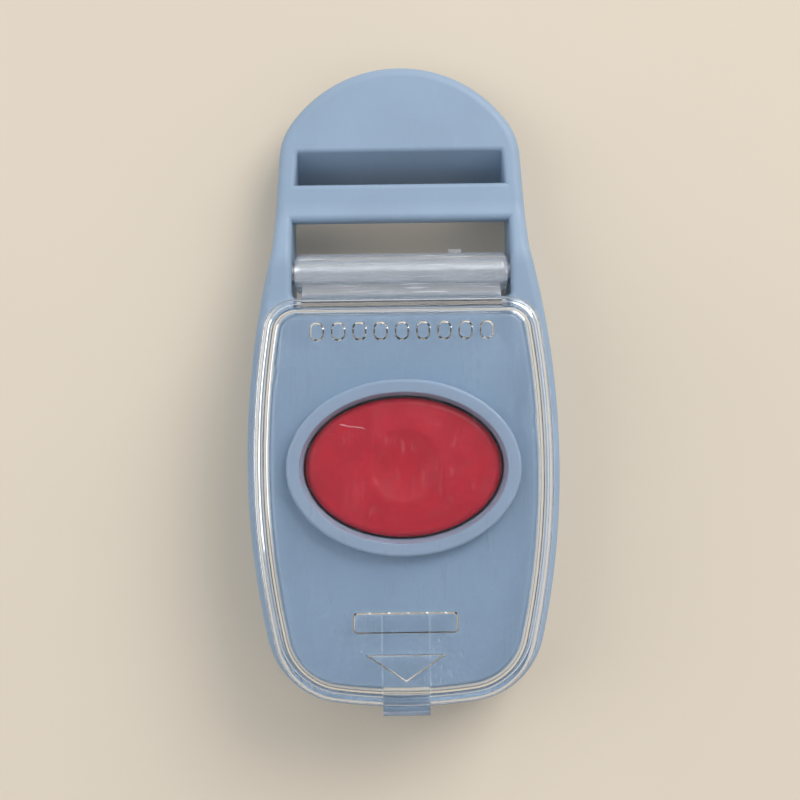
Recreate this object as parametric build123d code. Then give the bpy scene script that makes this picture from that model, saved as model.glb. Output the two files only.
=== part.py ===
"""Webbing buckle half with a guarded push button.

Millimetres. X across, Y along the strap (towards the strap end), Z up from the face the buckle lies on.
The origin is where the push button's axis meets that face.
The tongue of the other half enters at -Y, the webbing loops round the bar at +Y, and a clear cover
hinged on a steel pin closes over the button.
"""

import math
import os

from build123d import *

os.makedirs("parts", exist_ok=True)

# ---- What the buckle is made for ----
webbing_width = 25.0
tongue_width = 19.0
tongue_thickness = 4.0
press_travel = 2.0
eject_travel = 6.0
button_length = 23.4  # across, along X
button_width = 16.6  # along Y

# ---- Clearances ----
slot_play = 1.5  # webbing slot longer than the webbing is wide
tongue_play = 0.4
slide_gap = 0.15  # between sliding faces
button_gap = 0.25  # around the button in its throat
seat_gap = 0.1  # around the back cover, and under the clear cover's rim
pin_gap = 0.05  # radial, clear barrel on the pin
barrel_end_gap = 0.3
screw_gap = 0.02
spring_gap = 0.2

# ---- Walls ----
back_wall = 1.3
side_wall = 1.8
rear_wall = 2.0
seat_wall = 1.1  # what stays outside the back cover
mouth_roof = 1.4
ledge_wall = 1.6
platform_wall = 1.5
cover_wall = 1.0
cover_top_wall = 1.3
guide_wall = 1.0
yoke_wall = 1.3

# ---- Plan outline ----
bulge = 5.65  # widest half width beyond the slot's end
shoulder_rail = 1.4  # side rail beyond the slot's end, where the rounded strap end begins
rear_side_radius = 107.0
front_side_radius = 97.0
front_end_radius = 60.0
front_corner_radius = 9.8
waist_radius = 8.0
shoulder_radius = 8.0
edge_round = 1.2
base_round = 0.5
front_slot_round = 0.75
thumb_slot_round = 0.6

# ---- Along Y ----
ring_flare = 0.4  # the ring's opening is this much wider at its top
ring_width = 1.55
front_run = 18.6  # ring to the front end
rear_run = 9.55  # ring to the clear cover's rear face
hinge_setback = 3.45  # clear cover's rear face to the hinge axis
barrel_radius = 2.4
barrel_clear = 0.8  # barrel to the chamber's rear wall
strap_gap = 3.95  # open slot between barrel and bar
bar_width = 4.6
thumb_slot = 4.25  # slot behind the bar, at the top
thumb_taper = 0.75  # how much nearer the middle its ends are, at the strap end's side
tab_length = 10.3
ramp_foot = 0.75  # foot of the slanting wall, behind the bar
slope_run = 5.2  # the platform's sloping rear part
finger_tab_reach = 1.6  # in front of the clear cover

# ---- Along Z ----
platform_rise = 1.8
cap_rise = 2.1
dish_depth = 0.7
ring_over_button = 0.7
cover_over_ring = 0.35
slope_fall = 1.2
slope_crease = 14.0  # radius of the soft bend where the slope begins
finger_tab_lift = 1.8  # underside of its tip, above the cover's rim
finger_tab_thickness = 0.5
mark_depth = 0.22
bar_underside_z = 4.3
bar_thickness = 3.3  # at its rear edge
tab_fall = 1.4
tab_lift = 2.6  # underside of the strap end's tip, off the table

# ---- Small hardware ----
pin_radius = 1.25
screw_radius = 0.88
screw_head_radius = 1.9
screw_head_height = 1.15
latch_spring_radius = 1.4
latch_wire = 0.4
eject_spring_radius = 1.3
eject_wire = 0.35
spring_post_radius = 0.8

# ---- Worked out: plan ----
slot_half = (webbing_width + slot_play) / 2
half_width = slot_half + bulge
shoulder_x = slot_half + shoulder_rail
button_a, button_b = button_length / 2, button_width / 2
throat_a, throat_b = button_a + button_gap, button_b + button_gap
ring_a = throat_a + ring_flare + ring_width
ring_b = throat_b + ring_flare + ring_width
front_y = -(ring_b + front_run)
cover_rear_y = ring_b + rear_run
hinge_y = cover_rear_y + hinge_setback
slot_front_y = hinge_y - barrel_radius - barrel_clear
bar_front_y = hinge_y + barrel_radius + strap_gap
bar_rear_y = bar_front_y + bar_width
thumb_rear_y = bar_rear_y + thumb_slot
tip_y = thumb_rear_y + tab_length
waist_y = hinge_y + barrel_radius + 0.45
shoulder_y = thumb_rear_y + 1.2
chamber_rear_y = slot_front_y - rear_wall
channel_half = (tongue_width + tongue_play) / 2

# ---- Worked out: heights ----
floor_z = back_wall + slide_gap + press_travel + yoke_wall + 0.05  # the tongue slides on this
roof_z = floor_z + tongue_thickness + tongue_play
ledge_z = roof_z + mouth_roof
ledge_under_z = ledge_z - ledge_wall
platform_z = ledge_z + platform_rise
ceiling_z = platform_z - platform_wall
cap_z = roof_z + press_travel + 0.2  # underside of the button's cap
crown_z = cap_z + cap_rise
ring_z = crown_z + ring_over_button
cover_inner_z = ring_z + cover_over_ring
cover_top_z = cover_inner_z + cover_top_wall
rim_z = ledge_z + seat_gap
hinge_z = ledge_z - 0.3 - barrel_radius
tab_top_z = bar_underside_z + bar_thickness + 0.2
slot_rim_low_z = tab_top_z - 0.85  # nothing of the slots' upper rim lies lower

# ---- Worked out: how far the plan outline is drawn in ----
cover_inset = 1.2
cover_gap = 0.55  # clear cover's wall to the platform
cover_inside = cover_inset + cover_wall
platform_inset = cover_inside + cover_gap
cover_corner = 4.0
cover_round = 0.7  # outside, along the top
cover_hollow_round = 1.5  # inside, along the top
cover_lead = 0.6  # bevel inside the rim, to guide it over the platform
cover_lead_height = 0.84
ring_round = 0.35
ring_throat_round = 0.15
wide = 4 * half_width  # reaches past everything


# ---- Helpers ----
def box(x0, x1, y0, y1, z0, z1):
    """A block between two corners."""
    middle = ((x0 + x1) / 2, (y0 + y1) / 2, (z0 + z1) / 2)
    return Pos(*middle) * Box(x1 - x0, y1 - y0, z1 - z0)


def both_sides(solid):
    """The solid and its mirror image across the middle of the buckle."""
    return solid + solid.mirror(Plane.YZ)


def post(x, y, z0, z1, radius):
    """An upright cylinder."""
    return Pos(x, y, (z0 + z1) / 2) * Cylinder(radius, z1 - z0)


def slab(face, z0, z1):
    """The face, from z0 up to z1."""
    return extrude(Pos(0, 0, z0) * face, amount=z1 - z0)


def oval(a, b, z0, z1):
    """An upright elliptical block round the button's axis."""
    return slab(Ellipse(a, b), z0, z1)


def across(profile, half):
    """The (y, z) profile as a solid from x = -half to x = half."""
    plane = Plane(origin=(-half, 0, 0), x_dir=(0, 1, 0), z_dir=(1, 0, 0))
    return extrude(plane * profile, amount=2 * half)


def rod(x0, x1, y, z, radius):
    """A cylinder along X."""
    return Pos((x0 + x1) / 2, y, z) * Rot(0, 90, 0) * Cylinder(radius, x1 - x0)


def rod_y(y0, y1, x, z, radius):
    """A cylinder along Y."""
    return Pos(x, (y0 + y1) / 2, z) * Rot(90, 0, 0) * Cylinder(radius, y1 - y0)


def ball(z, radius):
    """A sphere on the button's axis, turned so that neither pole is on top."""
    return Pos(0, 0, z) * Rot(90, 0, 0) * Sphere(radius)


def top_edges(solid):
    return solid.edges().group_by(Axis.Z)[-1]


def bottom_edges(solid):
    return solid.edges().group_by(Axis.Z)[0]


# ---- Plan outline ----
def side_x(y):
    """Half width of the bowed side at y."""
    radius = rear_side_radius if y > 0 else front_side_radius
    return half_width - radius + math.sqrt(radius**2 - y**2)


def front_corner():
    """Where the front end's arc meets the bowed side, before rounding."""
    low, high = 0.0, half_width
    for _ in range(60):
        x = (low + high) / 2
        y = front_y + front_end_radius - math.sqrt(front_end_radius**2 - x**2)
        low, high = (x, high) if x < side_x(y) else (low, x)
    return x, y


def plan_outline():
    """The whole buckle from above."""
    corner_x, corner_y = front_corner()
    right = [
        ThreePointArc((half_width, 0), (side_x(corner_y / 2), corner_y / 2), (corner_x, corner_y)),
        ThreePointArc((half_width, 0), (side_x(waist_y / 2), waist_y / 2), (side_x(waist_y), waist_y)),
        Line((side_x(waist_y), waist_y), (shoulder_x, shoulder_y)),
    ]
    left = [edge.mirror(Plane.YZ) for edge in right]
    ends = [
        ThreePointArc((-corner_x, corner_y), (0, front_y), (corner_x, corner_y)),
        ThreePointArc((-shoulder_x, shoulder_y), (0, tip_y), (shoulder_x, shoulder_y)),
    ]
    face = make_face(right + left + ends)
    rounds = ((corner_y, front_corner_radius), (waist_y, waist_radius), (shoulder_y, shoulder_radius))
    for y, radius in rounds:
        face = fillet([v for v in face.vertices() if abs(v.Y - y) < 0.01], radius)
    return face


plan = plan_outline()


def drawn_in(inset, rear_y, rear_corner=0.0):
    """The plan outline drawn in by inset and cut off square at rear_y."""
    face = offset(plan, amount=-inset) & Pos(0, rear_y - wide / 2) * Rectangle(wide, wide)
    if rear_corner:
        face = fillet([v for v in face.vertices() if abs(v.Y - rear_y) < 0.01], rear_corner)
    return face


# ---- Places shared by the housing and what goes into it ----
screw_inset = 5.0  # from the buckle's side
screw_places = [
    (side * (side_x(y) - screw_inset), y)
    for y in (chamber_rear_y - 3.8, front_y + 8.6)
    for side in (1, -1)
]
pilot_radius = screw_radius + screw_gap
boss_radius = pilot_radius + 1.4
pad_z = 2 * back_wall
pilot_top_z = ledge_under_z - 1.0

leg_outer_x = button_a - 0.65
leg_inner_x = leg_outer_x - 1.0
leg_half_y = 2.4
upright_inner_x = channel_half + 0.4
upright_outer_x = upright_inner_x + 2 * latch_spring_radius + 1.4
upright_half_y = leg_half_y + 0.2
spring_x = (upright_inner_x + upright_outer_x) / 2
plate_top_z = floor_z - 0.05
plate_z = plate_top_z - yoke_wall
upright_top_z = roof_z - 0.8
latch_bore_top_z = upright_top_z - 0.8

eject_z = (floor_z + roof_z) / 2
eject_seat_y = 4.9  # front end of the ejector's spring
post_reach = 4.0  # of the ejector's spring post, from the rear wall
catch_half = 2.8
catch_depth = 0.5
catch_height = 1.1


# ---- Housing ----
def side_profile():
    """The buckle from the side: level over the chamber, then falling to the thin strap end."""
    fall_y = hinge_y + barrel_radius
    land_y = bar_front_y + 1.0
    heel_y = thumb_rear_y - 2.0
    corners = [
        (front_y - 1, 0),
        (front_y - 1, ledge_z),
        (fall_y, ledge_z),
        (land_y, tab_top_z),
        (tip_y, tab_top_z - tab_fall),
        (tip_y + 1, tab_top_z - tab_fall),
        (tip_y + 1, tab_lift),
        (tip_y, tab_lift),
        (heel_y, 0),
    ]
    face = make_face(Polyline(*corners, close=True))
    return fillet([v for v in face.vertices() if fall_y - 0.01 < v.X < land_y + 0.01], 6.0)


def outer_block():
    """The housing's outside, rounded, before anything is cut from it."""
    block = slab(plan, 0, ledge_z) & across(side_profile(), wide / 2)
    walls = [f for f in block.faces() if abs(f.normal_at().Z) < 0.1]
    wall_edges = [e for f in walls for e in f.edges()]

    def rim(faces):
        return [e for f in faces for e in f.edges() if any(e.is_same(w) for w in wall_edges)]

    block = fillet(rim([f for f in block.faces() if f.normal_at().Z > 0.5]), edge_round)
    walls = [f for f in block.faces() if abs(f.normal_at().Z) < 0.1]
    wall_edges = [e for f in walls for e in f.edges()]
    return fillet(rim([f for f in block.faces() if f.normal_at().Z < -0.5]), base_round)


def strap_window():
    """The passage for the webbing, with the slanting wall behind the bar and the bar left standing."""
    ramp_y = bar_rear_y + ramp_foot
    above = ledge_z + 1
    corners = [(slot_front_y, -1), (ramp_y, -1), (ramp_y, 0), (thumb_rear_y, tab_top_z - 0.4)]
    corners += [(thumb_rear_y, above), (slot_front_y, above)]
    rear_half = slot_half - thumb_taper
    right = [(slot_half, slot_front_y), (slot_half, bar_front_y), (rear_half, thumb_rear_y)]
    opening = make_face(Polyline(*right, *[(-x, y) for x, y in reversed(right)], close=True))
    window = across(make_face(Polyline(*corners, close=True)), wide / 2) & slab(opening, -1, above)
    ends = [e for e in window.edges() if abs(e.center().X) > rear_half - 0.01]
    upright = [e for e in ends if e.bounding_box().size.Z > 4 and e.bounding_box().size.Y < 0.01]
    return fillet(upright, 0.8) - bar_block()


def bar_block():
    """What the window leaves for the bar: rounded below, and as high as the rails."""
    middle_y = (bar_front_y + bar_rear_y) / 2
    tall = ledge_z + 2 - bar_underside_z
    section = Pos(middle_y, bar_underside_z + tall / 2) * Rectangle(bar_width, tall)
    section = fillet(section.vertices().sort_by(Axis.Y)[:2], 1.2)
    return across(section, wide / 2)


def platform():
    """The raised panel under the clear cover, sloping down towards the hinge."""
    rear_y = cover_rear_y - cover_wall - 0.5
    slope_y = rear_y - slope_run
    raised = slab(drawn_in(platform_inset, rear_y, cover_corner - cover_wall - cover_gap), 0, platform_z)
    slope = [(front_y, 0), (front_y, platform_z), (slope_y, platform_z)]
    slope += [(rear_y + 1, platform_z - slope_fall), (rear_y + 1, 0)]
    profile = make_face(Polyline(*slope, close=True))
    crease = [v for v in profile.vertices() if abs(v.X - slope_y) < 0.01]
    raised &= across(fillet(crease, slope_crease), wide / 2)
    raised -= box(-wide, wide, -wide, wide, -1, ledge_under_z + 0.5)
    return raised


def ring():
    """The raised oval round the button."""
    band = oval(ring_a, ring_b, ceiling_z, ring_z) - throat()
    band = fillet(max(top_edges(band), key=lambda e: e.length), ring_round)
    return fillet(min(top_edges(band), key=lambda e: e.length), ring_throat_round)


def throat():
    """The button's opening, flared at its top."""
    flare_z = ring_z - 1.4
    flare = loft([Pos(0, 0, flare_z) * Ellipse(throat_a, throat_b),
                  Pos(0, 0, ring_z) * Ellipse(throat_a + ring_flare, throat_b + ring_flare)])
    return oval(throat_a, throat_b, ceiling_z - 1, flare_z) + flare


def tongue_channel():
    """The straight passage from the mouth to the chamber's rear wall."""
    return box(-channel_half, channel_half, front_y - 1, chamber_rear_y, floor_z, roof_z)


def chamber():
    """Everything hollow inside: main space, space under the platform, tongue channel, back cover's seat."""
    upper_rear_y = cover_rear_y - cover_wall - 0.5 - platform_wall
    space = slab(drawn_in(side_wall, chamber_rear_y, 1.0), 0, ledge_under_z)
    space += slab(drawn_in(platform_inset + platform_wall, upper_rear_y, 1.0), ledge_under_z - 1, ceiling_z)
    space += tongue_channel()
    space += slab(drawn_in(seat_wall, chamber_rear_y + side_wall - seat_wall, 1.7), -1, back_wall)
    return space


def chamber_ribs():
    """Guides for the tongue, the yoke and the button, and the screws' bosses."""
    front, rear = front_y + side_wall - 0.5, chamber_rear_y + 0.5
    top = ceiling_z + 0.3
    gap_y = upright_half_y + 1.4
    inner, outer = channel_half, channel_half + guide_wall
    guides = box(inner, outer, front + 1.2, -gap_y, floor_z, top)
    guides += box(inner, outer, gap_y, rear, floor_z, top)
    guides += box(6, 8, ring_b - 1, rear, roof_z, top) + box(6, 8, front + 3, 1 - ring_b, roof_z, top)
    pocket_y = upright_half_y + 0.2
    wall = box(upright_inner_x + 1.4, half_width - 1, pocket_y, pocket_y + guide_wall, floor_z, top)
    guides += wall + wall.mirror(Plane.XZ)
    collar = oval(throat_a + guide_wall, throat_b + guide_wall, roof_z, top)
    collar -= box(-wide, wide, -gap_y, gap_y, 0, top)
    guides = both_sides(guides) + collar - oval(throat_a, throat_b, roof_z, top)
    bosses = [post(x, y, pad_z, top, boss_radius) for x, y in screw_places]
    keep = slab(drawn_in(side_wall - 0.6, rear), pad_z, ledge_under_z + 0.3)
    keep += slab(drawn_in(platform_inset + 0.6, rear - 2.6), pad_z, top)
    return ((guides + bosses) & keep) - tongue_channel()


def frame_block():
    """The outside with the strap window cut through it and both slots' upper edges softened."""
    block = outer_block() - strap_window()
    slots = ((slot_front_y, bar_front_y, front_slot_round), (bar_rear_y, thumb_rear_y, thumb_slot_round))
    for front, rear, radius in slots:
        block = fillet([e for e in block.edges() if on_slot_rim(e, front, rear)], radius)
    return block


def on_slot_rim(edge, front, rear):
    """Whether the edge runs along the top of the slot between these two places."""
    size, middle = edge.bounding_box().size, edge.center()
    return (
        abs(middle.X) < slot_half + 0.01
        and front - 0.01 < middle.Y < rear + 0.01
        and max(size.X, size.Y) > 0.1
        and middle.Z > slot_rim_low_z
    )


def housing():
    body = frame_block()
    body += platform() + ring()
    body -= chamber()
    body -= throat()
    body += chamber_ribs()
    body += rod_y(chamber_rear_y - post_reach, chamber_rear_y + 0.5, 0, eject_z, spring_post_radius)
    body -= rod(-wide, wide, hinge_y, hinge_z, pin_radius)
    for x, y in screw_places:
        body -= post(x, y, 0, pilot_top_z, pilot_radius)
    catch_y = front_y + platform_inset
    body -= box(-catch_half - 0.2, catch_half + 0.2, catch_y - 1, catch_y + catch_depth + 0.15,
                ledge_z + 0.05, ledge_z + catch_height)
    return body


# ---- Back cover ----
def back_cover():
    """The plate that closes the chamber from below, with the tongue's two floor rails."""
    seat_inset = seat_wall + seat_gap
    plate = slab(drawn_in(seat_inset, chamber_rear_y + side_wall - seat_inset, 1.6), 0, back_wall)
    plate = chamfer(bottom_edges(plate), 0.3)
    plate_front_y = -(upright_half_y + 4.6)
    rails = box(6, 8, upright_half_y + 0.6, chamber_rear_y - 0.4, back_wall, floor_z)
    rails += box(6, 8, front_y + side_wall + 1.0, plate_front_y - 0.4, back_wall, floor_z)
    plate += both_sides(rails)
    plate += both_sides(post(spring_x, 0, back_wall, back_wall + 1.4, spring_post_radius))
    stop_y = upright_half_y + 0.4
    plate += box(-1.3, 1.3, stop_y, stop_y + 1.2, back_wall, floor_z + 1.1)
    for x, y in screw_places:
        plate += post(x, y, back_wall, pad_z - 0.02, boss_radius)
        plate -= post(x, y, -1, back_wall, screw_head_radius + 0.2)
        plate -= post(x, y, 0, pad_z + 1, pilot_radius + 0.25)
    return plate


# ---- Clear cover ----
def cover_shell():
    """The hollow lid, open underneath."""
    outer = slab(drawn_in(cover_inset, cover_rear_y, cover_corner), rim_z, cover_top_z)
    inner = drawn_in(cover_inside, cover_rear_y - cover_wall, cover_corner - cover_wall)
    hollow = slab(inner, 0, cover_inner_z)
    lead = cover_wall - cover_lead
    rim = drawn_in(cover_inset + lead, cover_rear_y - lead, cover_corner - lead)
    bevel = loft([Pos(0, 0, rim_z) * rim, Pos(0, 0, rim_z + cover_lead_height) * inner], ruled=True)
    return fillet(top_edges(outer), cover_round) - fillet(top_edges(hollow), cover_hollow_round) - bevel


def hinge_barrel():
    """The barrel on the pin, and the web that joins it to the lid."""
    half = slot_half - barrel_end_gap
    barrel = rod(-half, half, hinge_y, hinge_z, barrel_radius)
    barrel = fillet([e for e in barrel.edges() if abs(e.center().X) > half - 0.01], 0.9)
    web_y = cover_rear_y - cover_wall / 2
    corners = [
        (web_y, rim_z),
        (web_y, rim_z + 1.2),
        (cover_rear_y, rim_z + 1.2),
        (hinge_y - 1.45, hinge_z + 1.9),
        (hinge_y, hinge_z),
        (hinge_y - barrel_radius + 0.1, hinge_z + 0.6),
        (slot_front_y + 0.4, rim_z),
    ]
    return barrel + across(make_face(Polyline(*corners, close=True)), half - 1.0)


def front_tooth():
    """The finger tab in front and the tooth that snaps under the platform's lip."""
    tab_y = front_y + cover_inset
    root_y = tab_y + cover_wall / 2
    tip = tab_y - finger_tab_reach
    tab_upper_z = rim_z + finger_tab_lift + finger_tab_thickness
    side = [(root_y, rim_z + 0.05), (tab_y + 0.1, rim_z + 0.05), (tip, rim_z + finger_tab_lift)]
    side += [(tip, tab_upper_z), (root_y, tab_upper_z)]
    tab = across(make_face(Polyline(*side, close=True)), catch_half)
    inside_y = front_y + cover_inside
    tooth_y = front_y + platform_inset + catch_depth - 0.1
    tooth_root_y = inside_y - cover_lead
    tooth = [(tooth_root_y, rim_z + 0.05), (tooth_y, rim_z + 0.05), (tooth_y, rim_z + 0.35)]
    tooth += [(inside_y - 0.3, rim_z + 1.3), (tooth_root_y, rim_z + 1.3)]
    return tab + across(make_face(Polyline(*tooth, close=True)), catch_half)


def sunk_mark(face):
    """A shallow mark with slanting sides, cut up into the lid's underside."""
    low = Pos(0, 0, cover_inner_z) * face
    high = Pos(0, 0, cover_inner_z + mark_depth) * offset(face, amount=-mark_depth)
    return loft([low, high]) + slab(face, cover_inner_z - 0.05, cover_inner_z)


def cover_marks():
    """Generic moulded marks under the lid: a row of pips, and an arrow under a bar that points to the tab."""
    mark_y = front_y + cover_inset + 8.3
    marks = sunk_mark(Pos(0, mark_y + 1.4) * RectangleRounded(12.4, 2.5, 0.5))
    arrow = Polyline((-4.9, mark_y - 2.3), (4.9, mark_y - 2.3), (0, mark_y - 5.6), close=True)
    marks += sunk_mark(make_face(arrow))
    pips = 9
    for place in range(pips):
        x = (place - (pips - 1) / 2) * 2.5
        marks += sunk_mark(Pos(x, cover_rear_y - 3.9) * RectangleRounded(1.7, 2.2, 0.8))
    return marks


def guard_cover():
    cover = cover_shell() + hinge_barrel() + front_tooth()
    nib_y = hinge_y + barrel_radius
    cover += box(5.8, 7.3, nib_y - 0.5, nib_y + 0.35, hinge_z - 0.3, hinge_z + 0.8)
    cover -= rod(-wide, wide, hinge_y, hinge_z, pin_radius + pin_gap)
    return cover - cover_marks()


def hinge_pin():
    half = side_x(hinge_y) - 0.7
    pin = rod(-half, half, hinge_y, hinge_z, pin_radius)
    return chamfer([e for e in pin.edges() if abs(e.center().X) > half - 0.01], 0.2)


# ---- Button ----
def release_button():
    """The oval cap with its finger dish, and two legs that press on the yoke."""
    crown_radius = 90.0
    cap = oval(button_a, button_b, cap_z, crown_z + 1)
    dish_radius = 15.5
    cap &= ball(crown_z - crown_radius, crown_radius)
    cap -= ball(crown_z - dish_depth + dish_radius, dish_radius)
    upper = [e for e in cap.edges() if e.center().Z > cap_z + 0.1 and e.geom_type != GeomType.LINE]
    upper.sort(key=lambda e: e.length)
    cap = fillet(upper[0], 2.5)
    rim = [e for e in cap.edges() if e.bounding_box().size.X > button_length - 0.1]
    cap = fillet(max(rim, key=lambda e: e.center().Z), 0.9)
    leg = box(leg_inner_x, leg_outer_x, -leg_half_y, leg_half_y, upright_top_z, cap_z + 0.5)
    catch = box(leg_outer_x, throat_a + 1.0, -leg_half_y, leg_half_y, ceiling_z - 1.6, ceiling_z - 0.1)
    return cap + both_sides(leg + catch)


def latch_yoke():
    """The plate with the locking lug, and an upright over each spring."""
    plate = box(-upright_outer_x, upright_outer_x, -upright_half_y, upright_half_y, plate_z, plate_top_z)
    nose_y = -(upright_half_y + 4.6)
    plate += box(-6.5, 6.5, nose_y, 0, plate_z, plate_top_z)
    plate = fillet(plate.edges().filter_by(Axis.Z), 0.8)
    lug_top = plate_top_z + press_travel - 0.15
    lug = [(nose_y + 0.8, plate_top_z - 0.5), (nose_y + 0.8, plate_top_z), (nose_y + 2.4, lug_top)]
    lug += [(nose_y + 3.6, lug_top), (nose_y + 3.6, plate_top_z - 0.5)]
    plate += across(make_face(Polyline(*lug, close=True)), 4.5)
    upright = box(upright_inner_x, upright_outer_x, -upright_half_y, upright_half_y, plate_z, upright_top_z)
    upright = fillet(upright.edges().filter_by(Axis.Z), 0.4)
    plate += both_sides(upright)
    bore = post(spring_x, 0, plate_z - 1, latch_bore_top_z, latch_spring_radius + spring_gap)
    return plate - both_sides(bore)


# ---- Ejector ----
def tongue_ejector():
    """The slider that pushes the tongue out."""
    z0, z1 = floor_z + slide_gap, roof_z - slide_gap
    head = box(-channel_half + 0.4, channel_half - 0.4, -1.6, 3.0, z0, z1)
    head = fillet(head.edges().filter_by(Axis.Z), 0.6)
    slider = head + box(-5, 5, 2.5, 9.4, z0, z1)
    stop_y = upright_half_y + 0.4 + 1.2 + 0.1
    slider -= box(-1.7, 1.7, -3, stop_y, z0 - 1, floor_z + 1.2)
    return slider - rod_y(eject_seat_y, 10, 0, eject_z, eject_spring_radius + spring_gap)


# ---- Springs ----
def coil(radius, wire, length, turns):
    """A compression spring standing on z = 0."""
    path = Helix((length - wire) / turns, length - wire, radius - wire / 2)
    section = Plane(origin=path @ 0, z_dir=path % 0) * Circle(wire / 2)
    return Pos(0, 0, wire / 2) * sweep(section, path=path)


def latch_spring(side):
    length = latch_bore_top_z - back_wall
    return Pos(side * spring_x, 0, back_wall) * coil(latch_spring_radius, latch_wire, length, 6)


def ejector_spring():
    length = chamber_rear_y - eject_seat_y
    return Pos(0, chamber_rear_y, eject_z) * Rot(90, 0, 0) * coil(eject_spring_radius, eject_wire, length, 13)


# ---- Screws ----
def back_screw(x, y):
    """A pan-head self-tapping screw, head down in the back cover."""
    head = post(x, y, back_wall - screw_head_height, back_wall, screw_head_radius)
    head = fillet(bottom_edges(head), 0.4)
    shank = post(x, y, back_wall - 0.1, pilot_top_z - 0.7, screw_radius)
    shank = chamfer(top_edges(shank), 0.3)
    cross = box(-1.1, 1.1, -0.22, 0.22, 0, 0.75)
    cross += Rot(0, 0, 90) * cross
    return head + shank - Pos(x, y, 0) * cross


# ---- Write one file for each piece ----
pieces = {
    "housing": housing(),
    "back_cover": back_cover(),
    "guard_cover": guard_cover(),
    "hinge_pin": hinge_pin(),
    "release_button": release_button(),
    "latch_yoke": latch_yoke(),
    "latch_spring_left": latch_spring(-1),
    "latch_spring_right": latch_spring(1),
    "tongue_ejector": tongue_ejector(),
    "ejector_spring": ejector_spring(),
    "back_screws": Compound([back_screw(x, y) for x, y in screw_places]),
}
for name, piece in pieces.items():
    export_step(piece, f"parts/{name}.step")
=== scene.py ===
"""A webbing buckle half with a guarded push button: its finishes, springs, screws and stage."""

import math

import bmesh
import bpy
from mathutils import Matrix, Vector


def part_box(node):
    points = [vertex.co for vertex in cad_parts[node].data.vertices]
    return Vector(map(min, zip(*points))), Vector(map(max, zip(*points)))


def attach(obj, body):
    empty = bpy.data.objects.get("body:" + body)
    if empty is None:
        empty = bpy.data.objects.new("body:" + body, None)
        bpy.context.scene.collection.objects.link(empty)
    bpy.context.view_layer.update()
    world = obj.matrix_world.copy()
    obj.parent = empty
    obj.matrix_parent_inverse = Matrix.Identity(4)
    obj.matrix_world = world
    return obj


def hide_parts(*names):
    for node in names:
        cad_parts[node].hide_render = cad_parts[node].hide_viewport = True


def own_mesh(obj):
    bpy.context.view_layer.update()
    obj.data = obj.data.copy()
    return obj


bl_info = {
    "name": "Guarded webbing buckle",
    "version": (1, 0, 0),
    "blender": (4, 5, 0),
    "location": "3D View > Sidebar > Buckle",
    "description": "Finishes, springs, screws and stage for a push-button webbing buckle half",
    "category": "Object",
}

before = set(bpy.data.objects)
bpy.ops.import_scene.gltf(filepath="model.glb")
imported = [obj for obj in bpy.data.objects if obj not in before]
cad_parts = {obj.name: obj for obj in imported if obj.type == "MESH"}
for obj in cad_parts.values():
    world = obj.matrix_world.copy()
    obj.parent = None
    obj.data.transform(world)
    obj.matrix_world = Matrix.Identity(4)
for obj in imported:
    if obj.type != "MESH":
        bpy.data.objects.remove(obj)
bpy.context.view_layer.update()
MM = 0.001
PARTS = {name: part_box(name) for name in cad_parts}


def middle(name):
    """The middle of a piece's box."""
    low, high = PARTS[name]
    return (low + high) / 2


# ---------------------------------------------------------------- node maths


class Value:
    """A node's output socket that takes Python arithmetic."""

    def __init__(self, tree, socket):
        self.tree = tree
        self.socket = socket

    def maths(self, operation, *others):
        return self.tree.add("ShaderNodeMath", {"operation": operation}, (self, *others))

    def __add__(self, other):
        return self.maths("ADD", other)

    __radd__ = __add__

    def __mul__(self, other):
        return self.maths("MULTIPLY", other)

    __rmul__ = __mul__

    def __sub__(self, other):
        return self.maths("SUBTRACT", other)

    def __rsub__(self, other):
        return self.tree.add("ShaderNodeMath", {"operation": "SUBTRACT"}, (other, self))

    def __truediv__(self, other):
        return self.maths("DIVIDE", other)

    def __pow__(self, other):
        return self.maths("POWER", other)

    def lesser(self, other):
        return self.maths("MINIMUM", other)

    def greater(self, other):
        return self.maths("MAXIMUM", other)

    def size(self):
        return self.maths("ABSOLUTE")

    def ramp(self, start, end, low=0.0, high=1.0):
        """Smoothly from low at start to high at end."""
        settings = {"interpolation_type": "SMOOTHSTEP"}
        return self.tree.add("ShaderNodeMapRange", settings, (self, start, end, low, high))


class Tree:
    """Adds nodes to a node tree."""

    def __init__(self, nodes):
        self.nodes = nodes.nodes
        self.links = nodes.links

    def add(self, kind, settings=None, inputs=(), output=0):
        """One node: its settings, then its sockets in order or by name. Gives one output as a Value."""
        node = self.nodes.new(kind)
        for name, value in (settings or {}).items():
            setattr(node, name, value)
        pairs = inputs.items() if isinstance(inputs, dict) else enumerate(inputs)
        for key, value in pairs:
            self.feed(node.inputs[key], value)
        return Value(self, node.outputs[output])

    def feed(self, socket, value):
        if isinstance(value, Value):
            self.links.new(value.socket, socket)
        else:
            socket.default_value = value


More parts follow.
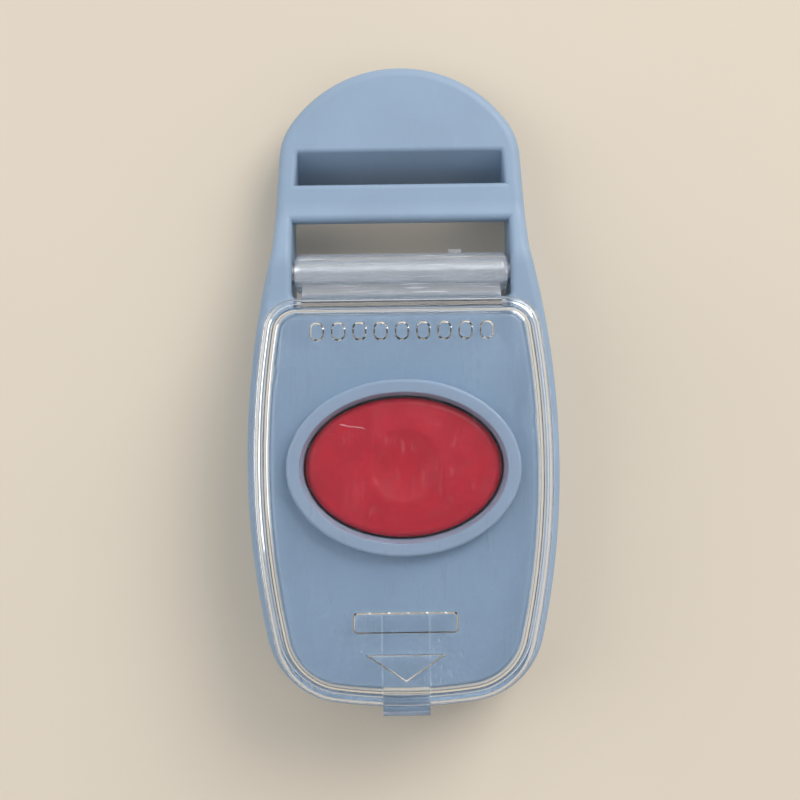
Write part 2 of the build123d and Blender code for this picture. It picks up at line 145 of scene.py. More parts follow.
class Finish(Tree):
    """A material, with the helpers that the finishes share. Lengths are in millimetres."""

    def __init__(self, name):
        self.material = bpy.data.materials.new(name)
        self.material.use_nodes = True
        super().__init__(self.material.node_tree)
        self.nodes.clear()
        self.shader = self.nodes.new("ShaderNodeBsdfPrincipled")
        self.output = self.nodes.new("ShaderNodeOutputMaterial")
        self.links.new(self.shader.outputs[0], self.output.inputs[0])
        inputs = {0: self.add("ShaderNodeTexCoord", output="Object"), "Scale": 1 / MM}
        self.place = self.add("ShaderNodeVectorMath", {"operation": "SCALE"}, inputs)

    def noise(self, per_mm, detail=3.0, rough=0.5, stretch=(1, 1, 1), turn=(0, 0, 0)):
        """Noise from 0 to 1, with per_mm cells to a millimetre."""
        inputs = {"Vector": self.place, "Rotation": turn, "Scale": stretch}
        at = self.add("ShaderNodeMapping", None, inputs)
        inputs = {"Vector": at, "Scale": per_mm, "Detail": detail, "Roughness": rough}
        return self.add("ShaderNodeTexNoise", None, inputs)

    def along(self, axis):
        """The coordinate along X, Y or Z."""
        return self.add("ShaderNodeSeparateXYZ", None, (self.place,), output=axis)

    def oval(self, a, b):
        """How far out a spot lies on the oval with half axes a and b: 1 on the oval."""
        x, y = self.along("X") / a, self.along("Y") / b
        return (x * x + y * y) ** 0.5

    def round_patch(self, x, y, inner, outer):
        """1 within inner of a point and 0 beyond outer."""
        across, past = self.along("X") - x, self.along("Y") - y
        return (across * across + past * past).ramp(inner**2, outer**2, 1.0, 0.0)

    def scratches(self, per_mm, turn, reach=14.0, width=0.04):
        """Fine straight hairlines that come and go, 1 on a hairline."""
        lines = self.noise(per_mm, 1.0, 0.5, (1, 1 / reach, 1), (0, 0, turn))
        near = (lines - 0.5).size().ramp(0.0, width, 1.0, 0.0)
        return near * self.noise(0.35, 1.0).ramp(0.5, 0.62)

    def mix(self, factor, one, other):
        """Colour one where factor is 0 and other where it is 1."""
        settings = {"data_type": "RGBA"}
        return self.add("ShaderNodeMix", settings, {0: factor, 6: one, 7: other}, output=2)

    def bump(self, height, depth_mm, under=None):
        """A normal from a height of 0 to 1 that stands for depth_mm."""
        inputs = {"Height": height, "Distance": depth_mm * MM, "Strength": 1.0}
        if under:
            inputs["Normal"] = under
        return self.add("ShaderNodeBump", None, inputs)

    def veil(self, factor, base, rough):
        """Lets a dull white show over the shader where factor is up: scuffs and scratches, and on the
        cover's hinge barrel painted highlights.
        """
        dull = self.nodes.new("ShaderNodeBsdfPrincipled")
        self.feed(dull.inputs["Base Color"], base)
        self.feed(dull.inputs["Roughness"], rough)
        blend = self.nodes.new("ShaderNodeMixShader")
        self.feed(blend.inputs[0], factor)
        self.links.new(self.shader.outputs[0], blend.inputs[1])
        self.links.new(dull.outputs[0], blend.inputs[2])
        self.links.new(blend.outputs[0], self.output.inputs[0])

    def set(self, **values):
        """Feeds the shader's sockets, such as base_color."""
        for name, value in values.items():
            title = " ".join(word if word == "IOR" else word.capitalize() for word in name.split("_"))
            self.feed(self.shader.inputs[title], value)
        return self.material


def dress(node, material):
    """Gives a carried-over piece its finish."""
    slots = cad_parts[node].data.materials
    slots.clear()
    slots.append(material)


def shade(colour, factor):
    """A colour made lighter or darker, with full alpha."""
    return (*(min(1.0, part * factor) for part in colour[:3]), 1.0)


# ---------------------------------------------------------------- sizes and colours


def colour(name, description, default):
    return bpy.props.FloatVectorProperty(
        name=name, description=description, default=default, subtype="COLOR", size=3, min=0.0, max=1.0
    )


def length(name, description, default):
    return bpy.props.FloatProperty(
        name=name, description=description, default=default, unit="LENGTH", precision=5
    )


def number(name, description, default):
    return bpy.props.FloatProperty(name=name, description=description, default=default)


class PlasticLook(bpy.types.PropertyGroup):
    housing: colour("Housing", "Moulded housing and back cover", (0.298, 0.405, 0.540))
    button: colour("Button", "Release button", (0.58, 0.006, 0.024))
    latch: colour("Latch", "Yoke and ejector", (0.72, 0.71, 0.66))
    grain: length("Grain depth", "Depth of the mould's fine texture", 0.006 * MM)


class CoverLook(bpy.types.PropertyGroup):
    tint: colour("Tint", "Colour of the clear plastic", (0.965, 0.985, 1.0))
    gloss: number("Roughness", "Roughness of the clean surface", 0.035)
    hairline: length("Hairline depth", "Depth of the handling scratches", 0.002 * MM)


class SpringLook(bpy.types.PropertyGroup):
    latch_wire: length("Latch wire", "Wire thickness of the two latch springs", 0.4 * MM)
    ejector_wire: length("Ejector wire", "Wire thickness of the ejector's spring", 0.35 * MM)
    latch_turns: number("Latch turns", "Turns of each latch spring", 7.0)
    ejector_turns: number("Ejector turns", "Turns of the ejector's spring", 14.0)


class ScrewLook(bpy.types.PropertyGroup):
    head: length("Head radius", "Radius of the pan head", 1.9 * MM)
    core: length("Core radius", "Radius between the threads", 0.64 * MM)
    pitch: length("Thread pitch", "Rise of one turn of thread", 0.8 * MM)


class StageLook(bpy.types.PropertyGroup):
    floor: colour("Floor", "The plain floor", (0.78, 0.68, 0.55))
    height: length("Camera height", "Camera above the floor", 0.2)
    across: length("Camera across", "Camera off the buckle's middle", -0.33 * MM)
    along: length("Camera along", "Camera past the button, towards the strap", 8.0 * MM)
    roll: bpy.props.FloatProperty(
        name="Roll",
        description="The buckle's lean in the view",
        default=math.radians(0.76),
        subtype="ANGLE",
    )
    focal: number("Focal length", "Lens in millimetres on a 36 mm sensor", 70.83)


class BuckleLook(bpy.types.PropertyGroup):
    plastic: bpy.props.PointerProperty(type=PlasticLook)
    cover: bpy.props.PointerProperty(type=CoverLook)
    springs: bpy.props.PointerProperty(type=SpringLook)
    screws: bpy.props.PointerProperty(type=ScrewLook)
    stage: bpy.props.PointerProperty(type=StageLook)


# ---------------------------------------------------------------- finishes

POLYCARBONATE_IOR = 1.58
# Where features lie that the finishes pick out, in millimetres.
RING_A, RING_B = 14.0, 10.55
RING_FOOT_Z = 12.9
PANEL_Z = 12.4
DISH_A, DISH_B = 4.6, 4.4  # where the dish fades into the crest
NICK_X, NICK_Y = -6.0, 4.9
LID_TOP_Z = PARTS["guard_cover"][1].z / MM
KNIT_X, KNIT_END_Y = 2.8, -16.5
SLEEVE_Y = 20.6


def moulded_plastic(name, base, grain_mm, panel=False):
    """Satin moulded plastic with spark-eroded grain, faint flow clouds and handling rubs.

    With panel, the level field under the clear cover is grainier, and the ring round the button polished
    and painted lighter and more lavender, a painted highlight where its raised top catches more light.
    """
    finish = Finish(name)
    clouds = finish.noise(0.10, 3.0)
    specks = finish.noise(3.5, 3.0, 0.6)
    rubs = finish.scratches(1.6, 0.9) + finish.scratches(1.1, 2.2)
    tone = finish.mix(clouds.ramp(0.3, 0.7), shade(base, 0.965), shade(base, 1.035))
    tone = finish.mix(specks.ramp(0.55, 0.8) * 0.3, tone, shade(base, 1.12))
    tone = finish.mix(rubs * 0.05, tone, shade(base, 1.5))
    grain = finish.noise(7.0, 3.0, 0.6)
    rough = 0.42 + clouds * 0.08 + specks * 0.06 - rubs * 0.05
    if panel:
        height = finish.along("Z")
        ring = height.ramp(RING_FOOT_Z, RING_FOOT_Z + 0.4) * finish.oval(RING_A, RING_B).ramp(1.03, 1.0)
        beyond = finish.oval(RING_A, RING_B).ramp(0.9, 1.0)
        field = height.ramp(PANEL_Z - 1.5, PANEL_Z - 1.2) * (1 - ring) * beyond
        mottle = finish.noise(4.2, 2.0, 0.7)
        tone = finish.mix(field * mottle.ramp(0.35, 0.65) * 0.5, tone, shade(base, 0.86))
        # Painted highlight: the raised ring is painted lighter and more lavender than the field, for the
        # fuller light on its top.
        tone = finish.mix(ring * 0.8, tone, shade((base[0] * 1.12, base[1] * 1.04, base[2]), 1.08))
        grain = grain * (1 - ring * 0.8) + field * mottle * 1.6
        rough = rough - ring * 0.10 + field * 0.08
    normal = finish.bump(grain, grain_mm)
    return finish.set(base_color=tone, roughness=rough, normal=normal, IOR=1.5)


def red_plastic(base):
    """Soft satin red, paler where fingers have rubbed the crest round the dish, with painted reflection
    that makes the pale haze and dots stronger towards the top and right.
    """
    finish = Finish("button_red")
    clouds = finish.noise(0.3, 4.0, 0.6)
    fibres = finish.noise(3.0, 5.0, 0.75, (1.0, 0.3, 1.0), (0, 0, 0.4))
    crossed = finish.noise(2.6, 5.0, 0.75, (0.3, 1.0, 1.0), (0, 0, 0.5))
    dish = finish.oval(DISH_A, DISH_B)
    crest = dish.ramp(0.7, 1.15) * dish.ramp(2.1, 1.3)
    # Painted reflection: lean grows towards the top and right, where the clear cover's reflection lies
    # over the button.
    lean = finish.along("X").ramp(-9.0, 9.0, 0.55, 1.0) * finish.along("Y").ramp(-8.0, 5.0, 0.35, 1.0)
    lint = fibres.ramp(0.4, 0.75) + crossed.ramp(0.45, 0.8)
    # The haze is real scuffing on the crest and lint, made stronger towards the top and right by painted
    # reflection.
    scuff_and_reflection_haze = (crest * 0.6 + 0.15) * lean * lint * clouds.ramp(0.25, 0.7, 0.5, 1.0)
    dots = finish.noise(5.0, 1.0).ramp(0.74, 0.80)
    tone = finish.mix(clouds.ramp(0.35, 0.7), shade(base, 0.93), shade(base, 1.07))
    tone = finish.mix((scuff_and_reflection_haze * 0.22).lesser(1.0), tone, (0.66, 0.10, 0.18, 1.0))
    # Pale dots, painted stronger towards the top and right as reflection.
    tone = finish.mix((dots * lean * 0.5).lesser(1.0), tone, (0.75, 0.35, 0.42, 1.0))
    tone = finish.mix(button_nick(finish) * 0.8, tone, (0.85, 0.66, 0.70, 1.0))
    rough = 0.40 + scuff_and_reflection_haze * 0.15
    normal = finish.bump(finish.noise(7.0, 3.0, 0.6), 0.004, finish.bump(fibres + crossed, 0.003))
    return finish.set(base_color=tone, roughness=rough, normal=normal, IOR=1.49)


def button_nick(finish):
    """A short pale nick near the button's far left edge."""
    x, y = finish.along("X") - NICK_X, finish.along("Y") - NICK_Y
    wave = finish.noise(1.2, 1.0) * 0.5 - 0.25
    line = (y + x * 0.16 + wave).size().ramp(0.0, 0.09, 1.0, 0.0)
    return line * x.size().ramp(1.2, 1.6, 1.0, 0.0)


def clear_plastic(look):
    """Clear moulded polycarbonate: hairlines, scuffs by the arrow, knit lines, a faint bloom, and a dull
    white film with pale lengthwise streaks painted on the hinge barrel as its highlights.
    """
    finish = Finish("clear_polycarbonate")
    x, y, height = finish.along("X"), finish.along("Y"), finish.along("Z")
    bloom = finish.noise(0.25, 3.0, 0.6)
    hairlines = finish.scratches(0.9, 0.35, 18.0, 0.02)
    hairlines = hairlines + finish.scratches(0.7, 1.3, 22.0, 0.02)
    hairlines = hairlines + finish.scratches(0.5, 2.5, 30.0, 0.015)
    lid = height.ramp(LID_TOP_Z - 0.25, LID_TOP_Z - 0.1)
    knit = (x.size() - KNIT_X).size().ramp(0.02, 0.07, 1.0, 0.0) * y.ramp(KNIT_END_Y, KNIT_END_Y - 1.2)
    patch = finish.round_patch(3.4, -22.5, 2.0, 20.0**0.5)
    swirl = finish.round_patch(-5.5, -19.5, 3.0**0.5, 4.0)
    scuffs = finish.noise(2.2, 5.0, 0.75, (1.0, 0.6, 1.0), (0, 0, 0.5)).ramp(0.5, 0.75)
    # Painted highlights: a dull white film and pale lengthwise streaks on the hinge barrel stand in for
    # the light it reflects; the streaks' relief is real.
    sleeve = y.ramp(SLEEVE_Y - 0.5, SLEEVE_Y + 0.2)
    drawn_lines_and_highlights = finish.noise(2.4, 3.0, 0.6, (0.05, 1.0, 1.0)).ramp(0.56, 0.70)
    wear = (patch * 0.3 + swirl * 0.2) * scuffs + bloom.ramp(0.5, 0.8) * 0.02 + hairlines * 0.035
    wear_and_painted_highlights = lid * (wear + knit * 0.28) + sleeve * (drawn_lines_and_highlights * 0.25 + 0.22)
    rough = look.gloss + wear_and_painted_highlights.lesser(1.0) * 0.25
    relief = finish.bump(hairlines * 0.15 + knit + drawn_lines_and_highlights * sleeve, look.hairline / MM)
    normal = finish.bump(finish.noise(0.10, 2.0), 0.01, relief)
    finish.veil((wear_and_painted_highlights + 0.008).lesser(0.8), (0.80, 0.84, 0.90, 1.0), 0.6)
    base = (*look.tint, 1.0)
    return finish.set(
        base_color=base, roughness=rough, normal=normal, IOR=POLYCARBONATE_IOR, transmission_weight=1.0
    )


def metal(name, base, rough, along=(1.0, 1.0, 1.0), fine=6.0):
    """Metal with drawing or grinding lines along one direction."""
    finish = Finish(name)
    lines = finish.noise(fine, 4.0, 0.65, along)
    patches = finish.noise(0.8, 3.0)
    tone = finish.mix(lines.ramp(0.3, 0.75), shade(base, 0.8), shade(base, 1.08))
    tone = finish.mix(patches.ramp(0.45, 0.7) * 0.3, tone, shade(base, 0.75))
    return finish.set(
        base_color=tone,
        roughness=rough + lines * 0.12 + patches * 0.08,
        normal=finish.bump(lines, 0.004),
        metallic=1.0,
    )


def floor_finish(base):
    """Plain pale floor with a soft, barely seen variation."""
    finish = Finish("pale_floor")
    clouds = finish.noise(0.012, 4.0)
    tone = finish.mix(clouds.ramp(0.3, 0.7), shade(base, 0.985), shade(base, 1.015))
    rough = 0.62 + clouds * 0.06
    return finish.set(base_color=tone, roughness=rough, normal=finish.bump(clouds, 0.02))


# ---------------------------------------------------------------- geometry node helpers


def new_tree(name, sizes):
    """A geometry tree with named size inputs. Gives the tree, its node maker and its inputs as Values."""
    group = bpy.data.node_groups.new(name, "GeometryNodeTree")
    group.interface.new_socket("Geometry", in_out="OUTPUT", socket_type="NodeSocketGeometry")
    for title, kind, value in sizes:
        socket = group.interface.new_socket(title, in_out="INPUT", socket_type=f"NodeSocket{kind}")
        if value is not None:
            socket.default_value = value
    maker = Tree(group)
    entry = maker.nodes.new("NodeGroupInput")
    given = {title: Value(maker, entry.outputs[title]) for title, _, _ in sizes}
    return group, maker, given


def end_tree(group, maker, geometry):
    """Realizes the tree's instances, sets the material and ends it."""
    real = maker.add("GeometryNodeRealizeInstances", None, (geometry,))
    material = next(v for v in group.interface.items_tree if v.name == "Material")
    entry = next(n for n in maker.nodes if n.bl_idname == "NodeGroupInput")
    painted = maker.add("GeometryNodeSetMaterial", None, {"Geometry": real})
    maker.links.new(entry.outputs[material.name], painted.socket.node.inputs["Material"])
    leave = maker.nodes.new("NodeGroupOutput")
    maker.links.new(painted.socket, leave.inputs[0])


def grow(name, group, values, points=()):
    """Runs a geometry tree on the points, with the given inputs. Gives a plain mesh object."""
    carried = bpy.data.meshes.new(name + "_carrier")
    carried.from_pydata(points, [], [])
    carrier = bpy.data.objects.new(name + "_carrier", carried)
    bpy.context.scene.collection.objects.link(carrier)
    modifier = carrier.modifiers.new("tree", "NODES")
    modifier.node_group = group
    for socket in group.interface.items_tree:
        if socket.in_out == "INPUT" and socket.name in values:
            modifier[socket.identifier] = values[socket.name]
    depsgraph = bpy.context.evaluated_depsgraph_get()
    mesh = bpy.data.meshes.new_from_object(carrier.evaluated_get(depsgraph), depsgraph=depsgraph)
    bpy.data.objects.remove(carrier)
    mesh.name = name
    piece = bpy.data.objects.new(name, mesh)
    bpy.context.scene.collection.objects.link(piece)
    return piece


def settle(piece, body, slot, *nodes):
    """Hands a finished piece to the frame: its body, and the node it stands for, which it hides. The slot
    argument is not used.
    """
    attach(piece, body)
    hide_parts(*nodes)


# ---------------------------------------------------------------- springs

PRESS_TRAVEL = 2 * MM
EJECT_TRAVEL = 6 * MM
STEPS_IN_TURN = 40

def spring_tree():
    """A compression spring that stands on Z = 0, with one closed turn at each end."""
    sizes = (
        ("Radius", "Float", 1.2 * MM),
        ("Wire", "Float", 0.4 * MM),
        ("Length", "Float", 6.0 * MM),
        ("Turns", "Float", 7.0),
        ("Material", "Material", None),
    )
    group, maker, given = new_tree("compression_spring", sizes)
    wire, turns = given["Wire"], given["Turns"]
    spiral = maker.add(
        "GeometryNodeCurveSpiral",
        None,
        {
            "Resolution": STEPS_IN_TURN,
            "Rotations": turns,
            "Start Radius": given["Radius"],
            "End Radius": given["Radius"],
            "Height": 1.0,
        },
    )
    spot = maker.add("GeometryNodeInputPosition")
    x = maker.add("ShaderNodeSeparateXYZ", None, (spot,), output="X")
    y = maker.add("ShaderNodeSeparateXYZ", None, (spot,), output="Y")
    turn = maker.add("ShaderNodeSeparateXYZ", None, (spot,), output="Z") * turns
    rise = (given["Length"] - wire * 3) / (turns - 2)
    low = turn.lesser(1.0) * wire
    high = (turn - (turns - 1)).greater(0.0) * wire
    height = low + high + (turn - 1).greater(0.0).lesser(turns - 2) * rise + wire * 0.5
    place = maker.add("ShaderNodeCombineXYZ", None, (x, y, height))
    coil = maker.add("GeometryNodeSetPosition", None, {"Geometry": spiral, "Position": place})
    ring = maker.add("GeometryNodeCurvePrimitiveCircle", None, {"Resolution": 12, "Radius": wire * 0.5})
    solid = maker.add(
        "GeometryNodeCurveToMesh", None, {"Curve": coil, "Profile Curve": ring, "Fill Caps": True}
    )
    smooth = maker.add("GeometryNodeSetShadeSmooth", None, {"Geometry": solid})
    end_tree(group, maker, smooth)
    return group


def spring_piece(group, node, wire, turns, material, along_y, joint, travel):
    """A spring in the place of its node; nothing shortens it, and the joint and travel arguments are not
    used.
    """
    low, high = PARTS[node]
    reach = (high - low).y if along_y else (high - low).z
    radius = (high.x - low.x) / 2 - wire / 2
    values = {"Radius": radius, "Wire": wire, "Length": reach, "Turns": turns, "Material": material}
    piece = grow(node + "_wire", group, values)
    centre = middle(node)
    if along_y:
        seat, axis = (centre.x, high.y, centre.z), (0, 1, 0)
        place = Matrix.Translation(seat) @ Matrix.Rotation(math.pi / 2, 4, "X")
    else:
        seat, axis = (centre.x, centre.y, low.z), (0, 0, 1)
        place = Matrix.Translation(seat)
    piece.data.transform(place)
    settle(piece, "housing", "spring_steel", node)
    1 - travel / reach
    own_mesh(piece)


class BUCKLE_OT_springs(bpy.types.Operator):
    """Two latch springs and the ejector's spring, wound from wire with closed ends"""

    bl_idname = "buckle.springs"
    bl_label = "Springs"

    def execute(self, context):
        look = context.scene.buckle_look.springs
        wire = metal("spring_wire", (0.42, 0.42, 0.43), 0.28, fine=9.0)
        group = spring_tree()
        for node in ("latch_spring_left", "latch_spring_right"):
            sizes = look.latch_wire, look.latch_turns
            spring_piece(group, node, *sizes, wire, False, "button_press", PRESS_TRAVEL)
        sizes = look.ejector_wire, look.ejector_turns
        spring_piece(group, "ejector_spring", *sizes, wire, True, "ejector_slide", EJECT_TRAVEL)
        return {"FINISHED"}


# ---------------------------------------------------------------- screws

SCREW_HEAD_HEIGHT = 1.15 * MM
THREAD_HEIGHT = 0.22 * MM
SCREW_SIDES = 48
STEPS_IN_PITCH = 12
TIP_STEPS = 10  # where the shank tapers to its point
RUN_IN_STEPS = 8  # where the thread rises from the shank

def ring_of(mesh, radius, z, count, squeeze=None):
    """A ring of vertices at height z; squeeze moves each one's radius by its angle."""
    ring = []
    for step in range(count):
        angle = math.tau * step / count
        reach = radius if squeeze is None else squeeze(radius, angle)
        ring.append(mesh.verts.new((reach * math.cos(angle), reach * math.sin(angle), z)))
    return ring


def bridge(mesh, one, other):
    """Quads between two rings with the same count."""
    count = len(one)
    for step in range(count):
        after = (step + 1) % count
        mesh.faces.new((one[step], one[after], other[after], other[step]))


def cross_reach(wide, narrow):
    """The outline of a cross recess: wide along its arms, narrow between them."""

    def reach(radius, angle):
        across = min(abs(math.cos(angle)), abs(math.sin(angle)))
        arm = narrow / max(across, 1e-6)
        return radius * min(wide, max(arm, narrow * 1.6))

    return reach


def screw_mesh(look, head_height, shank_length):
    """One self-tapping screw, head down at Z = 0: pan head, cross recess, spiral thread, point."""
    count = SCREW_SIDES
    mesh = bmesh.new()
    head = look.head
    recess = cross_reach(0.62, 0.13)
    floor_ring = ring_of(mesh, head * 0.7, 0.62 * head_height, count, recess)
    rim_ring = ring_of(mesh, head, 0.0, count, recess)
    mesh.faces.new(floor_ring)
    bridge(mesh, floor_ring, rim_ring)
    outline = [rim_ring]
    edge_round = 0.42 * head_height
    outline.append(ring_of(mesh, head - edge_round * 1.4, 0.0, count))
    for step in range(1, 7):
        turn = math.pi / 2 * step / 6
        reach = head - edge_round * (1 - math.sin(turn))
        outline.append(ring_of(mesh, reach, edge_round * (1 - math.cos(turn)), count))
    outline.append(ring_of(mesh, head, head_height, count))
    for one, other in zip(outline, outline[1:]):
        bridge(mesh, one, other)
    mesh.faces.new(outline[-1])
    crest = look.core + THREAD_HEIGHT
    steps = int(shank_length / look.pitch * STEPS_IN_PITCH)
    last = ring_of(mesh, look.core, head_height, count)
    mesh.faces.new(last)
    for step in range(1, steps + 1):
        z = head_height + shank_length * step / steps
        taper = min(1.0, (steps - step) / TIP_STEPS + 0.12)
        fade = min(1.0, step / RUN_IN_STEPS) * taper

        def thread(radius, angle, z=z, taper=taper, fade=fade):
            phase = (z / look.pitch - angle / math.tau) % 1.0
            ridge = max(0.0, 1 - abs(phase - 0.5) * 4.5)
            return radius * taper + (crest - radius) * ridge * fade

        ring = ring_of(mesh, look.core, z, count, thread)
        bridge(mesh, last, ring)
        last = ring
    mesh.faces.new(last)
    bmesh.ops.recalc_face_normals(mesh, faces=mesh.faces)
    data = bpy.data.meshes.new("back_screw")
    mesh.to_mesh(data)
    mesh.free()
    return data


def screw_places():
    """Where the four screws stand, and how tall one is, from their node's mesh."""
    low, high = PARTS["back_screws"]
    spots = []
    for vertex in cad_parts["back_screws"].data.vertices:
        if vertex.co.z > high.z - 0.05 * MM:
            near = [s for s in spots if (s[0] - vertex.co).to_2d().length < 4 * MM]
            if near:
                near[0][1].append(vertex.co)
            else:
                spots.append((vertex.co.copy(), [vertex.co]))
    centres = []
    for _, members in spots:
        xs, ys = [v.x for v in members], [v.y for v in members]
        centres.append(Vector(((min(xs) + max(xs)) / 2, (min(ys) + max(ys)) / 2, low.z)))
    return centres, high.z - low.z


def screws_tree():
    """One screw set on each point."""
    sizes = (("Points", "Geometry", None), ("Screw", "Object", None), ("Material", "Material", None))
    group, maker, given = new_tree("screw_set", sizes)
    screw = maker.add("GeometryNodeObjectInfo", None, {"Object": given["Screw"]}, output="Geometry")
    turn = maker.add("FunctionNodeRandomValue", {"data_type": "FLOAT_VECTOR"}, {"Seed": 4})
    turn.socket.node.inputs[1].default_value = (0.0, 0.0, math.pi / 2)
    inputs = {"Points": given["Points"], "Instance": screw, "Rotation": turn}
    placed = maker.add("GeometryNodeInstanceOnPoints", None, inputs)
    end_tree(group, maker, placed)
    return group


class BUCKLE_OT_screws(bpy.types.Operator):
    """Four self-tapping screws in the back cover, with a cross recess and a thread"""

    bl_idname = "buckle.screws"
    bl_label = "Back screws"

    def execute(self, context):
        look = context.scene.buckle_look.screws
        places, tall = screw_places()
        material = metal("zinc_plate", (0.66, 0.65, 0.60), 0.26, fine=5.0)
        pattern = screw_mesh(look, SCREW_HEAD_HEIGHT, tall - SCREW_HEAD_HEIGHT)
        single = bpy.data.objects.new("screw_pattern", pattern)
        context.scene.collection.objects.link(single)
        values = {"Screw": single, "Material": material}
        piece = grow("back_screw_set", screws_tree(), values, [tuple(p) for p in places])
        bpy.data.objects.remove(single)
        piece.data.shade_smooth()
        piece.data.set_sharp_from_angle(angle=math.radians(35))
        settle(piece, "housing", "zinc_screws", "back_screws")
        return {"FINISHED"}


# ---------------------------------------------------------------- mouldings


class BUCKLE_OT_housing(bpy.types.Operator):
    """The grey-blue housing and back cover"""

    bl_idname = "buckle.housing"
    bl_label = "Housing"

    def execute(self, context):
        look = context.scene.buckle_look.plastic
        grain = look.grain / MM
        dress("housing", moulded_plastic("grey_blue_plastic", look.housing, grain, panel=True))
        darker = shade(look.housing, 0.96)
        dress("back_cover", moulded_plastic("back_cover_plastic", darker, 2 * grain))
        return {"FINISHED"}


class BUCKLE_OT_button(bpy.types.Operator):
    """The oval red release button"""

    bl_idname = "buckle.button"
    bl_label = "Release button"

    def execute(self, context):
        dress("release_button", red_plastic(context.scene.buckle_look.plastic.button))
        return {"FINISHED"}


class BUCKLE_OT_latch(bpy.types.Operator):
    """The white latch yoke and tongue ejector"""

    bl_idname = "buckle.latch"
    bl_label = "Latch and ejector"

    def execute(self, context):
        look = context.scene.buckle_look.plastic
        material = moulded_plastic("latch_white", look.latch, 0.003)
        dress("latch_yoke", material)
        dress("tongue_ejector", material)
        return {"FINISHED"}


class BUCKLE_OT_cover(bpy.types.Operator):
    """The clear guard cover"""

    bl_idname = "buckle.cover"
    bl_label = "Guard cover"

    def execute(self, context):
        dress("guard_cover", clear_plastic(context.scene.buckle_look.cover))
        return {"FINISHED"}


class BUCKLE_OT_pin(bpy.types.Operator):
    """The steel hinge pin"""

    bl_idname = "buckle.pin"
    bl_label = "Hinge pin"

    def execute(self, context):
        dress("hinge_pin", metal("ground_steel", (0.74, 0.74, 0.76), 0.30, (0.05, 1.0, 1.0)))
        return {"FINISHED"}


# ---------------------------------------------------------------- stage


def area_light(name, place, aim, size, power, tint):
    """A square softbox at place that faces aim."""
    light = bpy.data.lights.new(name, "AREA")
    light.shape = "RECTANGLE"
    light.size, light.size_y = size
    light.energy = power
    light.color = tint
    lamp = bpy.data.objects.new(name, light)
    lamp.location = place
    lamp.rotation_euler = (Vector(aim) - Vector(place)).to_track_quat("-Z", "Y").to_euler()
    bpy.context.scene.collection.objects.link(lamp)


def soft_room():
    """Daylight all round, strongest from behind and the right, dull overhead, warm near the floor."""
    world = bpy.data.worlds.new("soft_room")
    world.use_nodes = True
    tree = Tree(world.node_tree)
    way = tree.add("ShaderNodeTexCoord", output="Generated")
    x, y, z = (tree.add("ShaderNodeSeparateXYZ", None, (way,), output=axis) for axis in "XYZ")
    lit = z.ramp(0.05, 0.4, 0.45, 1.0) * z.ramp(0.90, 0.985, 1.0, 0.12) * (1 + y * 0.35 + x * 0.15)
    warm = z.ramp(0.0, 0.35)
    settings = {"data_type": "RGBA"}
    inputs = {0: warm, 6: (0.86, 0.74, 0.60, 1.0), 7: (0.93, 0.96, 1.0, 1.0)}
    sky = world.node_tree.nodes["Background"]
    tree.feed(sky.inputs["Color"], tree.add("ShaderNodeMix", settings, inputs, output=2))
    tree.feed(sky.inputs["Strength"], lit * 0.67)
    return world


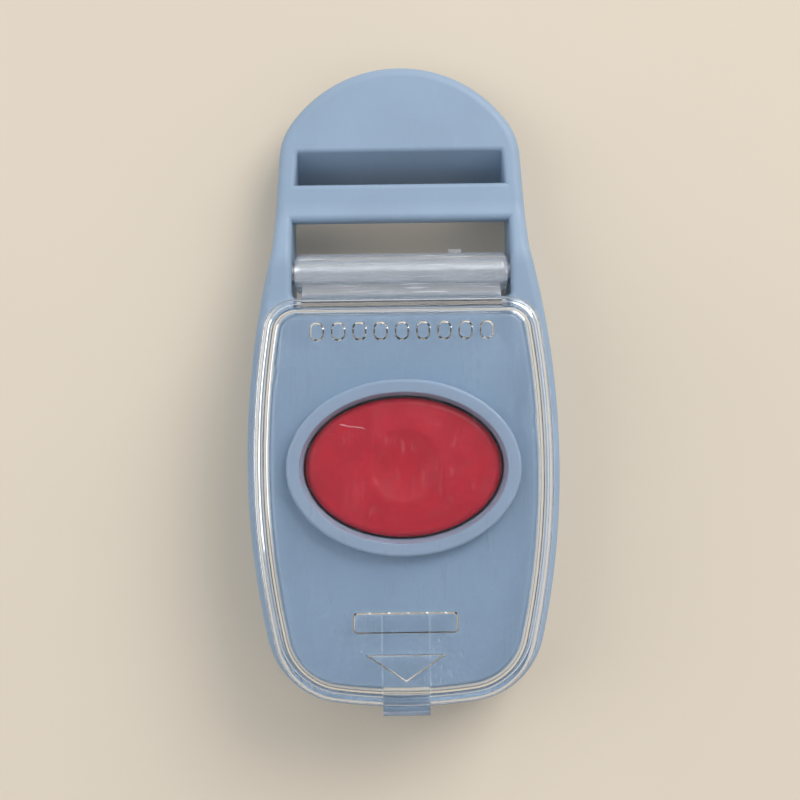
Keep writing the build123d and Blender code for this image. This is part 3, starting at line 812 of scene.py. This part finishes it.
class BUCKLE_OT_stage(bpy.types.Operator):
    """The pale floor, the soft lights and the camera above"""

    bl_idname = "buckle.stage"
    bl_label = "Stage"

    def execute(self, context):
        look = context.scene.buckle_look.stage
        floor_mesh = bpy.data.meshes.new("floor")
        half = 1.5
        corners = [(-half, -half, 0), (half, -half, 0), (half, half, 0), (-half, half, 0)]
        floor_mesh.from_pydata(corners, [], [(0, 1, 2, 3)])
        floor = bpy.data.objects.new("floor", floor_mesh)
        floor_mesh.materials.append(floor_finish(look.floor))
        context.scene.collection.objects.link(floor)
        context.scene.world = soft_room()
        area_light("window", (0.50, 0.60, 0.62), (0, 0, 0), (0.6, 0.6), 5.4, (1.0, 0.98, 0.95))
        area_light("fill", (-0.65, 0.1, 0.5), (0, 0, 0), (0.5, 0.8), 1.6, (0.9, 0.95, 1.0))
        self.add_camera(context, look)
        scene = context.scene
        scene.view_settings.view_transform = "Standard"
        scene.cycles.use_denoising = True
        scene.cycles.blur_glossy = 0.0
        scene.cycles.max_bounces = 16
        scene.cycles.transmission_bounces = 14
        scene.cycles.sample_clamp_indirect = 20.0
        return {"FINISHED"}

    def add_camera(self, context, look):
        lens = bpy.data.cameras.new("above")
        lens.sensor_width = 36.0
        lens.lens = look.focal
        lens.clip_start = 0.01
        camera = bpy.data.objects.new("above", lens)
        camera.location = (look.across, look.along, look.height)
        camera.rotation_euler = (0, 0, -look.roll)
        context.scene.collection.objects.link(camera)
        context.scene.camera = camera


# ---------------------------------------------------------------- add-on


OPERATORS = (
    BUCKLE_OT_housing,
    BUCKLE_OT_button,
    BUCKLE_OT_latch,
    BUCKLE_OT_cover,
    BUCKLE_OT_pin,
    BUCKLE_OT_springs,
    BUCKLE_OT_screws,
    BUCKLE_OT_stage,
)


class BUCKLE_PT_panel(bpy.types.Panel):
    """Lists the buckle's pieces and their sizes and colours"""

    bl_label = "Buckle"
    bl_idname = "BUCKLE_PT_panel"
    bl_space_type = "VIEW_3D"
    bl_region_type = "UI"
    bl_category = "Buckle"

    def draw(self, context):
        look = context.scene.buckle_look
        for operator in OPERATORS:
            self.layout.operator(operator.bl_idname)
        for group in (look.plastic, look.cover, look.springs, look.screws, look.stage):
            box = self.layout.box()
            for name in group.bl_rna.properties.keys():
                if name not in ("rna_type", "name"):
                    box.prop(group, name)


GROUPS = (PlasticLook, CoverLook, SpringLook, ScrewLook, StageLook, BuckleLook)
CLASSES = GROUPS + OPERATORS + (BUCKLE_PT_panel,)


def register():
    for cls in CLASSES:
        bpy.utils.register_class(cls)
    bpy.types.Scene.buckle_look = bpy.props.PointerProperty(type=BuckleLook)


def unregister():
    del bpy.types.Scene.buckle_look
    for cls in reversed(CLASSES):
        bpy.utils.unregister_class(cls)


def main():
    register()
    for operator in OPERATORS:
        group, name = operator.bl_idname.split(".")
        getattr(getattr(bpy.ops, group), name)()
    bpy.context.view_layer.update()


if __name__ == "__main__":
    main()
